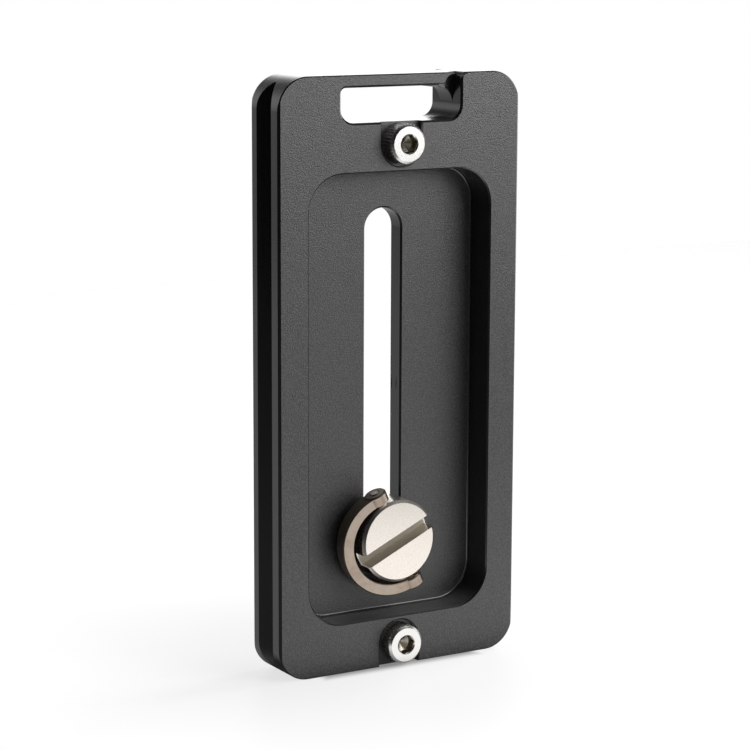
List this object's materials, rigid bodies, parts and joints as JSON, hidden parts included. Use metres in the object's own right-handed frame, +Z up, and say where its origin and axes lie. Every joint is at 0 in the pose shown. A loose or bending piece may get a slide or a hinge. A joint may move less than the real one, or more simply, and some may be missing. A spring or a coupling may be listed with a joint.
{
  "type": "tripod quick release plate",
  "caption": "Dovetail tripod quick release plate with a captive slotted camera screw, a folding D-ring grip, a strap slot and safety stop screws.",
  "frame": {"origin": "centre of the plate's lower end face, on which it stands: mid width and mid thickness", "axes": "+X across the plate, to the right as seen from the clamp side; +Y from the clamp side to the camera side; +Z up along the plate's length"},
  "size_m": [0.0392, 0.0152, 0.085],
  "materials": {
    "black_anodised": "fine bead-blasted, black anodised",
    "screw_steel": "turned, satin",
    "ring_steel": "satin nickel",
    "stop_steel": "bright"
  },
  "bodies": {
    "plate": {"plate_body": "black_anodised", "upper_stop_screw": "stop_steel", "lower_stop_screw": "stop_steel"},
    "screw": {"camera_screw": "screw_steel", "pivot_pin_upper": "screw_steel", "pivot_pin_lower": "screw_steel"},
    "ring": {"d_ring": "ring_steel"}
  },
  "joints": [
    {"name": "screw_slide", "type": "slide", "parent": "plate", "child": "screw", "axis": [0, 0, 1], "range_m": [-0.0023, 0.0446]},
    {"name": "ring_flip", "type": "hinge", "parent": "screw", "child": "ring", "pos_m": [0, -0.0023, 0.01827], "axis": [-0.4226, 0, 0.9063], "range_deg": [-5, 200]}
  ]
}
